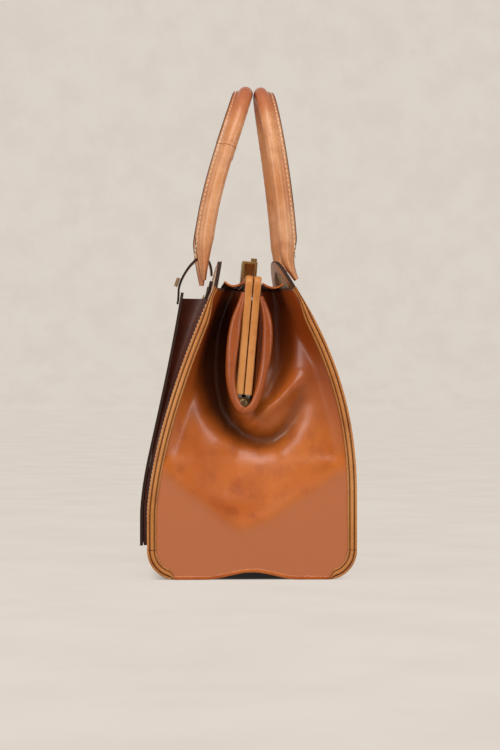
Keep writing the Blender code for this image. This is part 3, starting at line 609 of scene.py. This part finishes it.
# Each fold: x, z, depth inwards (outwards where negative) and half width, in metres.
FOLDS = [
    # the valley round the frame, from the front top, under the hinge, to the back top
    [(-0.024, 0.290, 0.026, 0.013), (-0.027, 0.250, 0.032, 0.016), (-0.031, 0.210, 0.033, 0.018),
     (-0.029, 0.176, 0.029, 0.018), (-0.018, 0.148, 0.021, 0.015), (0.004, 0.133, 0.017, 0.012),
     (0.024, 0.132, 0.016, 0.012), (0.040, 0.146, 0.012, 0.012), (0.050, 0.168, 0.006, 0.012)],
    [(0.024, 0.178, 0.008, 0.013), (0.030, 0.205, 0.014, 0.016), (0.030, 0.240, 0.018, 0.016),
     (0.026, 0.290, 0.016, 0.013)],
    # the ridge that runs up from under the hinge to the back panel
    [(0.006, 0.150, -0.003, 0.008), (0.024, 0.166, -0.011, 0.010), (0.040, 0.182, -0.013, 0.010),
     (0.054, 0.198, -0.003, 0.014)],
    # the pinched ends of the V
    [(-0.094, 0.114, -0.0004, 0.008), (-0.074, 0.112, -0.0032, 0.011), (-0.050, 0.114, -0.0006, 0.012)],
    [(0.096, 0.110, -0.0004, 0.008), (0.072, 0.112, -0.0032, 0.011), (0.044, 0.112, -0.0006, 0.012)],
    # a soft swelling in the middle of the V
    [(-0.052, 0.094, -0.0010, 0.012), (-0.030, 0.076, -0.0022, 0.012), (-0.006, 0.072, -0.0008, 0.014)],
    # small wrinkles under the hinge plate
    [(-0.012, 0.154, 0.0016, 0.0022), (-0.004, 0.149, 0.0022, 0.0022), (0.004, 0.152, 0.0012, 0.0022)],
    [(-0.010, 0.146, 0.0010, 0.0024), (-0.002, 0.141, 0.0014, 0.0024), (0.008, 0.144, 0.0010, 0.0024)],
]
V_LINE = [(-0.110, 0.126), (-0.087, 0.108), (-0.050, 0.080), (-0.022, 0.057), (-0.008, 0.050), (0.012, 0.056),
          (0.050, 0.080), (0.092, 0.107), (0.115, 0.126)]


def v_height(x):
    for (x0, z0), (x1, z1) in zip(V_LINE, V_LINE[1:]):
        if x <= x1:
            t = smooth((x - x0) / (x1 - x0), 0.0, 1.0) * 0.35 + max((x - x0) / (x1 - x0), 0.0) * 0.65
            return z0 + (z1 - z0) * t
    return V_LINE[-1][1]


def gusset_depth(x, z, from_seam):
    """How far the gusset is folded in at a place, and how far it lies in a valley."""
    above = min(z, 0.118) - v_height(x)
    slant = 0.30 * 0.004 * math.log1p(math.exp(min(above / 0.004, 40.0)))
    slant -= 0.0010 * math.exp(-((above / 0.007) ** 2))
    slant += 0.05 * max(z - 0.118, 0.0)
    depth = slant
    valley = 0.0
    for path in FOLDS:
        away, amount, width = near_line(path, x, z)
        push = amount / (1 + (away / width) ** 2) ** 1.7
        depth += push
        valley += push
    bulge = 0.0016 * math.exp(-(((z - 0.050) / 0.030) ** 2) - ((x - 0.0) / 0.070) ** 2)
    held = smooth(from_seam, -0.001, 0.020)
    return depth * held - bulge, max(valley, 0.0) * held


ROLL_IN = {-1: [(0.120, -0.002), (0.158, -0.002), (0.172, -0.010), (0.200, -0.0105), (0.277, -0.0045)],
           1: [(0.120, -0.002), (0.158, -0.002), (0.172, 0.0045), (0.200, 0.0072), (0.277, 0.0138)]}


def inner_x(side, z):
    line = ROLL_IN[side]
    for (z0, x0), (z1, x1) in zip(line, line[1:]):
        if z <= z1:
            return x0 + (x1 - x0) * min(max((z - z0) / (z1 - z0), 0.0), 1.0)
    return line[-1][1]


def half_outline(side, count):
    """Even points inside the welt, from the middle of the base round the corner and up the panel."""
    inset = 0.0030
    reach = HALF_DEPTH - CORNER
    fine = [(x, base_z(x) + inset) for x in spread(-0.002, BODY_X + side * reach, 40)]
    start, stop = (270, 180) if side < 0 else (270, 360)
    for degrees in spread(start, stop, 20)[1:]:
        a = math.radians(degrees)
        fine.append((BODY_X + side * reach + (CORNER - inset) * math.cos(a),
                     CORNER + (CORNER - inset) * math.sin(a)))
    fine += [(panel_x(side, z, inset), z) for z in spread(CORNER + 0.002, 0.2775, 90)]
    lengths = [0.0]
    for a, b in zip(fine, fine[1:]):
        lengths.append(lengths[-1] + math.dist(a, b))
    out, k = [], 0
    for at in spread(0.0, lengths[-1] - 1e-6, count):
        while lengths[k + 1] < at:
            k += 1
        t = (at - lengths[k]) / max(lengths[k + 1] - lengths[k], 1e-9)
        (ax, az), (bx, bz) = fine[k], fine[k + 1]
        out.append((ax + (bx - ax) * t, az + (bz - az) * t))
    return out


def outer_half(name, side, end):
    grid, deep, edge, flat = [], [], [], []
    rows, columns = 100, 46
    for i, (x1, z1) in enumerate(half_outline(side, rows)):
        t = i / (rows - 1)
        z0 = base_z(-0.002) + 0.003 + (0.2745 - base_z(-0.002)) * t**1.22
        x0 = inner_x(side, z0)
        row, shade, line, painted_sheen = [], [], [], []
        for u in spread(0.0, 1.0, columns):
            x, z = x0 + (x1 - x0) * u, z0 + (z1 - z0) * u
            away, valley = gusset_depth(x, z, math.hypot(x1 - x0, z1 - z0) * (1 - u))
            row.append((x, end * (0.1876 - away), z))
            # painted shade in the valleys, from how deep the folds push in
            shade.append(min(max(valley / 0.021, 0.0), 1.0) ** 1.3 * 0.88)
            line.append(1.0 if i == rows - 1 else 0.0)
            # painted sheen below the V, carried by the flat value
            painted_sheen.append(1 - smooth(z - v_height(x), -0.012, 0.010))
        flat.append(painted_sheen)
        grid.append(row)
        deep.append(shade)
        edge.append(line)
    made = cut_sheet(name, grid, 0.0018, GUSSET, Vector((0, end, 0)), deep, edge, flat)
    # The two halves meet on the middle line, so both take the folds' own slope there.
    normals = [vertex.normal.copy() for vertex in made.data.vertices]
    step = 0.0004
    for i in range(rows):
        x, _, z = grid[i][0]
        if z < 0.158:
            dx = gusset_depth(x + step, z, 1.0)[0] - gusset_depth(x - step, z, 1.0)[0]
            dz = gusset_depth(x, z + step, 1.0)[0] - gusset_depth(x, z - step, 1.0)[0]
            normals[i * columns] = Vector((dx / (2 * step), end, dz / (2 * step))).normalized()
    made.data.normals_split_custom_set_from_vertices(normals)
    return made


# A roll beside an arm: x, z, half width, half depth and how far out its crest stands, from the top down.
ROLLS = {
    -1: [(-0.0040, 0.274, 0.0024, 0.0034, 0.1800), (-0.0072, 0.262, 0.0036, 0.0046, 0.1822),
         (-0.0112, 0.248, 0.0050, 0.0058, 0.1836), (-0.0136, 0.232, 0.0058, 0.0064, 0.1846),
         (-0.0158, 0.212, 0.0054, 0.0066, 0.1850), (-0.0166, 0.192, 0.0046, 0.0062, 0.1848),
         (-0.0138, 0.175, 0.0042, 0.0056, 0.1842), (-0.0085, 0.164, 0.0040, 0.0050, 0.1836),
         (-0.0020, 0.1600, 0.0038, 0.0046, 0.1832)],
    1: [(0.0122, 0.270, 0.0024, 0.0034, 0.1800), (0.0160, 0.258, 0.0036, 0.0050, 0.1826),
        (0.0184, 0.244, 0.0046, 0.0060, 0.1842), (0.0186, 0.228, 0.0050, 0.0064, 0.1850),
        (0.0170, 0.210, 0.0048, 0.0062, 0.1850), (0.0136, 0.193, 0.0042, 0.0058, 0.1846),
        (0.0098, 0.178, 0.0040, 0.0054, 0.1841), (0.0048, 0.166, 0.0040, 0.0050, 0.1836),
        (-0.0020, 0.1600, 0.0038, 0.0046, 0.1832)],
}


def arm_roll(name, side, end):
    rings, deep = [], []
    steps = 44
    for i in range(steps):
        x, z, wide, thick, crest = along_path(ROLLS[side], i / (steps - 1))
        ahead = along_path(ROLLS[side], min(i + 1, steps - 1) / (steps - 1))
        behind = along_path(ROLLS[side], max(i - 1, 0) / (steps - 1))
        way = Vector((ahead[0] - behind[0], 0, ahead[1] - behind[1])).normalized()
        across = Vector((way.z, 0, -way.x))
        ring = []
        for turn in range(18):
            a = 2 * math.pi * turn / 18
            dent = 1 - 0.10 * math.exp(-((math.sin(a) - 1) / 0.25) ** 2) - 0.05 * math.sin(3 * a + 9 * i / steps)
            lift = math.sin(a) * thick * dent
            ring.append(Vector((x, end * (crest - thick + lift), z)) + across * math.cos(a) * wide * dent)
            # painted shade on the half of the roll turned in towards the arm
            deep.append(0.75 * smooth(-math.sin(a), -0.55, 0.5))
        rings.append(ring)
    return carried(name, rings, LIP, deep=deep, sharp=80)


for label, end in ENDS.items():
    for word, side in SIDES.items():
        outer = outer_half(f"{word}_gusset_{label}", side, end)
        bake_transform(outer)
        roll = arm_roll(f"{word}_arm_roll_{label}", side, end)
        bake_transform(roll)
        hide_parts(f"{word}_gusset_wing_{label}")
        if side < 0:
            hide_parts("gusset_" + label)
print("gussets:", list(ENDS))

# %% [markdown]
# ## Mouth frame
# Each half is a bent steel bar inside a folded leather cover, with rounded corners at the top. The cover is one
# soft-edged section carried round the bar's path. The facing is the strip that joins the bar to its panel.

# %% Frame covers and facings
COVER_SECTION = [(-0.0036, -0.0040), (-0.0036, 0.0026), (-0.0031, 0.0035), (-0.0020, 0.0039), (0.0, 0.0040),
                 (0.0020, 0.0039), (0.0031, 0.0035), (0.0036, 0.0026), (0.0036, -0.0040), (0.0024, -0.0040),
                 (0.0024, 0.0026), (-0.0024, 0.0026), (-0.0024, -0.0040)]


def frame_stations(foot):
    reach, top, radius = 0.176, 0.1185, 0.0050
    stations = [(-reach, h, -1.0, 0.0) for h in spread(foot, top - radius, 14)]
    for end, first in ((-1, 180), (1, 90)):
        for degrees in spread(first, first - 90, 9):
            c, s = math.cos(math.radians(degrees)), math.sin(math.radians(degrees))
            stations.append((end * (reach - radius) + radius * c, top - radius + radius * s, c, s))
        if end < 0:
            stations += [(y, top, 0.0, 1.0) for y in spread(-reach + radius, reach - radius, 30)[1:-1]]
    stations += [(reach, h, 1.0, 0.0) for h in spread(top - radius, foot, 14)]
    tidy = []
    for station in stations:
        if not tidy or math.dist(station[:2], tidy[-1][:2]) > 1e-5:
            tidy.append(station)
    return tidy


for word, side in SIDES.items():
    middle = side * 0.00405
    rings, deep = [], []
    for y, h, wy, wh in frame_stations(0.0084):
        rings.append([frame_point(middle + a, y + n * wy, h + n * wh) for a, n in COVER_SECTION])
        # painted shade on the cover's two sides
        deep += [0.35 if abs(a) > 0.0033 else 0.0 for a, n in COVER_SECTION]
    cover = carried(word + "_frame_leather", rings, OCHRE, deep=deep, sharp=50)
    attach(cover, word + "_frame")
    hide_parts(word + "_frame_cover")
    rows = []
    inner = frame_point(side * 0.0095, 0.0, 0.1169)
    for share in spread(0.0, 1.0, 12):
        z = inner.z - 0.004 * math.sin(math.pi * share)
        outer_x = panel_x(side, z, LEATHER + LINING + 0.003) - side * 0.003
        rows.append([(inner.x + (outer_x - inner.x) * share, y, z + 0.0003 * math.sin(y * 60))
                     for y in spread(-0.167, 0.167, 41)])
    facing = cut_sheet(word + "_mouth_facing", rows, 0.0017, TAN, Vector((0, 0, 1)))
    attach(facing, word + "_frame")
    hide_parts(word + "_facing")

# %% [markdown]
# ## Handles
# A handle is a strip of hide folded round a rope and sewn along its two edges, which stand out as a thin flange
# with a painted edge. Over the arch the front one has a second wrapped sleeve. Each leg narrows to a flat
# tongue that goes under a riveted tab.

# %% Handles
def handle_path(side, count):
    rise, fine = HANDLE_TOP - PIVOT_Z, []
    for angle in spread(0.0, math.pi, 700):
        c, s = math.cos(angle), math.sin(angle)
        z = PIVOT_Z + rise * abs(s) ** (2 / 2.7)
        fine.append(Vector((handle_x(side, z), 0.075 * math.copysign(abs(c) ** (2 / 2.7), -c), z)))
    lengths = [0.0]
    for a, b in zip(fine, fine[1:]):
        lengths.append(lengths[-1] + (b - a).length)
    out, k = [], 0
    for at in spread(0.0, lengths[-1] - 1e-6, count):
        while lengths[k + 1] < at:
            k += 1
        out.append(fine[k].lerp(fine[k + 1], (at - lengths[k]) / (lengths[k + 1] - lengths[k])))
    return out


def directions(path, i, side):
    ahead = (path[min(i + 1, len(path) - 1)] - path[max(i - 1, 0)]).normalized()
    outwards = (Vector((side, 0, 0)) - ahead * ahead.x * side).normalized()
    return ahead, outwards, ahead.cross(outwards)


def rolled_strip(name, side, path, grow, first, last, tongue):
    rings, edge, deep = [], [], []
    for i in range(first, last + 1):
        _, outwards, across = directions(path, i, side)
        near_end = min(i, len(path) - 1 - i)
        thick = min(1.0, 0.24 + 0.06 * near_end) if tongue else 1.0
        wrinkle = 1 + 0.018 * math.sin(i * 1.9) * math.sin(i * 0.37)
        radius = (ROLL + grow) * wrinkle
        section = [(-0.0016 - grow, 0.0122, 0.7), (-0.0019 - grow, 0.0108, 0.0), (-0.0022 - grow, 0.0080, 0.2)]
        for degrees in spread(116, 424, 21):
            a = math.radians(degrees)
            section.append((radius * math.cos(a), radius * math.sin(a), 0.0))
        section += [(0.0022 + grow, 0.0080, 0.2), (0.0019 + grow, 0.0108, 0.0), (0.0016 + grow, 0.0122, 0.7),
                    (0.0007, 0.0130 + grow * 0.4, 1.0), (-0.0007, 0.0130 + grow * 0.4, 1.0)]
        rings.append([path[i] + across * a + outwards * b * thick for a, b, _ in section])
        edge += [e if e > 0.5 else 0.0 for _, _, e in section]
        # painted shade in the creases where the rolled tube meets its flange, at the points marked 0.2
        deep += [0.35 if 0.0 < e < 0.5 else 0.0 for _, _, e in section]
    return carried(name, rings, ROLLED, deep=deep, edge=edge, sharp=60)


for word, side in SIDES.items():
    path = handle_path(side, 141)
    strip = rolled_strip(word + "_handle_roll", side, path, 0.0, 0, 140, True)
    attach(strip, word + "_handle")
    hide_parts(word + "_handle", word + "_handle_core")
    if side < 0:
        sleeve = rolled_strip("front_handle_sleeve", side, path, 0.0007, 41, 99, False)
        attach(sleeve, "front_handle")
    runs = []
    for face in (-1, 1):
        run = []
        for i in range(6, 135):
            _, outwards, across = directions(path, i, side)
            lift = 0.0024 if side < 0 and 40 < i < 100 else 0.0019
            run.append((path[i] + outwards * 0.0100 + across * face * lift, across * face))
        runs.append(run)
    stitches(word + "_handle_stitching", runs, word + "_handle", 0.0030, 0.0018, 0.00048)
    for label, end in ENDS.items():
        rows, edge = [], []
        for drop in spread(0.032, 0.0, 17):
            z = PIVOT_Z - 0.0012 - drop
            half = 0.011 * (1.0 - 0.25 * (1 - drop / 0.032))
            half *= math.sqrt(max(1 - (max(drop - 0.023, 0.0) / 0.0095) ** 2, 0.03))
            face = panel_x(side, z, -0.0016 - 0.0026)
            rows.append([(face - side * 0.0008 * (2 * k / 8 - 1) ** 2, end * 0.075 + half * (2 * k / 8 - 1), z)
                         for k in range(9)])
            edge.append([1.0 if k in (0, 8) or drop > 0.0315 else 0.0 for k in range(9)])
        tab = cut_sheet(f"{word}_leg_tab_{label}", rows, 0.0026, DARK, OUT[side], edge=edge)
        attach(tab, word + "_panel")
        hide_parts(f"{word}_handle_tab_{label}")
print("handles:", list(SIDES))

# %% [markdown]
# ## Pocket and its strap
# The long pocket on the front panel stands off at its mouth. Its wall is a stiff sheet with a dark painted
# edge, its ends are thin gussets made dark as painted shade, and a strap with a buckle arches over from the panel
# to close it.

# %% Pocket
heights = [0.030 + 0.245 * share for share in spread(0.0, 1.0, 30)]
grid = [[(pocket_x(z), y, z) for y in spread(-0.150, 0.150, 31)] for z in heights]
edge = [[1.0 if i == 29 or j in (0, 30) else 0.0 for j in range(31)] for i in range(30)]
wall = cut_sheet("pocket_front", grid, 0.0028, TAN, OUT[-1], edge=edge)
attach(wall, "front_panel")
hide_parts("pocket_wall")
for label, end in ENDS.items():
    rows, edge = [], []
    for z in spread(0.032, 0.269, 40):
        x0, x1 = pocket_x(z) + 0.0034, panel_x(-1, z, -0.0005)
        rows.append([(x0 + (x1 - x0) * u, end * (0.1492 - 0.006 * math.sin(math.pi * u) * smooth(z, 0.10, 0.25)), z)
                     for u in spread(0.0, 1.0, 9)])
        edge.append([0.0] * 9)
    # painted shade: the side gussets take the dark hide, standing for the shade inside the pocket's ends
    side_gusset = cut_sheet("pocket_side_" + label, rows, 0.0014, DARK, Vector((0, end, 0)), edge=edge)
    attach(side_gusset, "front_panel")
    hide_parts("pocket_gusset_" + label)
    run = [(Vector((panel_x(-1, z, -0.0003), end * 0.1545, z)), OUT[-1]) for z in spread(0.040, 0.266, 60)]
    stitches("pocket_seam_" + label, [run], "front_panel")


def strap_curve(count):
    root = (panel_x(-1, 0.297) - 0.004, 0.2975)
    wall_x, wall_z = pocket_x(0.275) - 0.0006, 0.275
    middle, half = (root[0] + wall_x) / 2, (root[0] - wall_x) / 2
    curve = []
    for degrees in spread(0.0, 180.0, count):
        c, s = math.cos(math.radians(degrees)), math.sin(math.radians(degrees))
        floor = root[1] + (wall_z + 0.006 - root[1]) * (1 - c) / 2
        curve.append((middle + half * c, floor + 0.022 * s * (1 + 0.25 * c)))
    return curve + [(pocket_x(z) - 0.0006, z) for z in spread(wall_z - 0.002, wall_z - 0.007, 4)]


rows, edge = [], []
curve = strap_curve(36)
for i, (x, z) in enumerate(curve):
    tip = 1 - 0.55 * smooth(i, len(curve) - 6, len(curve) - 1) ** 2
    rows.append([(x, 0.012 * tip * u, z) for u in spread(-1.0, 1.0, 13)])
    edge.append([1.0 if k in (0, 12) or i == len(curve) - 1 else 0.0 for k in range(13)])
strap = cut_sheet("closing_strap", rows, 0.0022, OCHRE, Vector((0, 0, -1)), edge=edge)
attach(strap, "pocket_strap")
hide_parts("pocket_strap")

# %% [markdown]
# ## Metal and board from the solid model
# The hinge plates, rivets, frame bars, lock and buckle are rigid and already true to size, so they are kept and
# given their metals. A recessed face with a raised rim is added to each end of the lock.

# %% Metal pieces
KEPT = {"hinge_plate_near": BRONZE, "hinge_plate_far": BRONZE, "hinge_rivet_near": BRONZE,
        "hinge_rivet_far": BRONZE, "front_frame_core": STEEL, "back_frame_core": STEEL, "lock_case": BRASS,
        "catch_post": BRASS, "lock_bolt": BRASS, "strap_buckle": BRASS, "buckle_prong": BRASS, "base_board": BOARD,
        "pocket_floor": DARK, "handle_rivet_front_near": BRASS, "handle_rivet_front_far": BRASS,
        "handle_rivet_back_near": BRASS, "handle_rivet_back_far": BRASS}
for node, finish in KEPT.items():
    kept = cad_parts[node]
    kept.data.materials.clear()
    kept.data.materials.append(finish)
    kept.data.polygons.foreach_set("material_index", [0] * len(kept.data.polygons))

for label, end in ENDS.items():
    bpy.ops.object.select_all(action="DESELECT")
    bpy.ops.mesh.primitive_cube_add(size=1.0, location=frame_point(0.0, end * 0.0226, 0.1333),
                                    rotation=(0, TILT, 0), scale=(0.0150, 0.0012, 0.0205))
    face = bpy.context.active_object
    face.name = "lock_end_" + label
    bpy.ops.object.transform_apply(location=True, rotation=True, scale=True)
    face.data.materials.append(BRASS)
    # painted shade: the recess takes the darker brass
    face.data.materials.append(RECESS)
    bpy.ops.object.mode_set(mode="EDIT")
    bpy.ops.mesh.select_mode(type="FACE")
    bpy.ops.mesh.select_all(action="DESELECT")
    bpy.ops.object.mode_set(mode="OBJECT")
    for polygon in face.data.polygons:
        polygon.select = polygon.normal.y * end > 0.9
    bpy.ops.object.mode_set(mode="EDIT")
    bpy.ops.mesh.inset(thickness=0.0022, depth=0)
    bpy.ops.mesh.inset(thickness=0.0004, depth=-0.0007)
    bpy.ops.object.mode_set(mode="OBJECT")
    for polygon in face.data.polygons:
        if polygon.select:
            polygon.material_index = 1
    soften = face.modifiers.new("soft edges", "BEVEL")
    soften.width, soften.segments, soften.limit_method = 0.0002, 2, "ANGLE"
    bpy.ops.object.modifier_apply(modifier=soften.name)
    bpy.ops.object.shade_smooth_by_angle(angle=math.radians(35))
    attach(face, "front_frame")

# %% [markdown]
# ## Studio
# The bag stands on a pale, matt floor that curves up into the wall behind it. A large soft light stands on each
# side of the camera, and a third hangs overhead.

# %% Studio
def backdrop():
    bend = 9.0
    profile = [(-9.0, 0.0), (bend, 0.0)]
    for degrees in spread(-90, 0, 16)[1:]:
        a = math.radians(degrees)
        profile.append((bend + 0.9 * math.cos(a), 0.9 + 0.9 * math.sin(a)))
    profile.append((bend + 0.9, 7.0))
    mesh = bpy.data.meshes.new("studio_floor")
    points = [(x, y, z) for y, z in profile for x in (-9.0, 9.0)]
    faces = [(2 * i, 2 * i + 1, 2 * i + 3, 2 * i + 2) for i in range(len(profile) - 1)]
    mesh.from_pydata(points, [], faces)
    mesh.shade_smooth()
    made = bpy.data.objects.new("studio_floor", mesh)
    bpy.context.scene.collection.objects.link(made)
    p = Paint("studio_paper")
    blotch = p.noise(7.0, 4.0, 0.6)
    pale = p.mix(blotch.clamp(0.35, 0.7), tone(221, 212, 202), tone(217, 207, 197))
    p.shader.inputs["Roughness"].default_value = 1.0
    p.shader.inputs["Specular IOR Level"].default_value = 0.0
    p.shader.inputs["Emission Strength"].default_value = 0.95
    # painted shadow: the floor's glow is cut almost to black under the bag's footprint
    spot = p.node("ShaderNodeSeparateXYZ", {}, {"Vector": p.place}, "X")
    reach = p.node("ShaderNodeSeparateXYZ", {}, {"Vector": p.place}, "Y")
    painted_shadow = (1.0 - spot.absolute().clamp(0.066, 0.096)) * (1.0 - reach.absolute().clamp(0.176, 0.194))
    glow = p.mix(painted_shadow * 0.97, pale, (0.0, 0.0, 0.0, 1.0))
    p.set(Base_Color=p.mix(0.93, pale, (0.0, 0.0, 0.0, 1.0)), Emission_Color=glow)
    mesh.materials.append(p.material)
    return made


def soft_light(name, place, target, power, width, height, colour=(1.0, 0.97, 0.93)):
    lamp = bpy.data.lights.new(name, "AREA")
    lamp.shape, lamp.size, lamp.size_y, lamp.energy, lamp.color = "RECTANGLE", width, height, power, colour
    made = bpy.data.objects.new(name, lamp)
    bpy.context.scene.collection.objects.link(made)
    made.location = place
    made.rotation_euler = (Vector(target) - Vector(place)).to_track_quat("-Z", "Y").to_euler()
    return made


floor = backdrop()
soft_light("left_softbox", (-1.9, -1.5, 1.1), (0, 0, 0.16), 30, 0.9, 1.5)
soft_light("right_softbox", (2.0, -1.2, 0.9), (0, 0, 0.16), 22, 0.8, 1.5)
soft_light("top_softbox", (0.0, -1.1, 1.9), (0, -0.1, 0.2), 29, 1.4, 0.9)

world = bpy.data.worlds.new("studio_air")
bpy.context.scene.world = world
world.use_nodes = True
air = world.node_tree.nodes["Background"]
air.inputs["Color"].default_value = tone(218, 209, 200)
air.inputs["Strength"].default_value = 0.35

camera = bpy.data.objects.new("camera", bpy.data.cameras.new("camera"))
bpy.context.scene.collection.objects.link(camera)
camera.data.sensor_width, camera.data.lens = 36.0, 111.0
camera.location = (-0.0754, -2.389, 0.195)
camera.rotation_euler = (Vector((0.0014, -0.19, 0.195)) - camera.location).to_track_quat("-Z", "Y").to_euler()
bpy.context.scene.camera = camera
bpy.context.scene.view_settings.view_transform = "Standard"
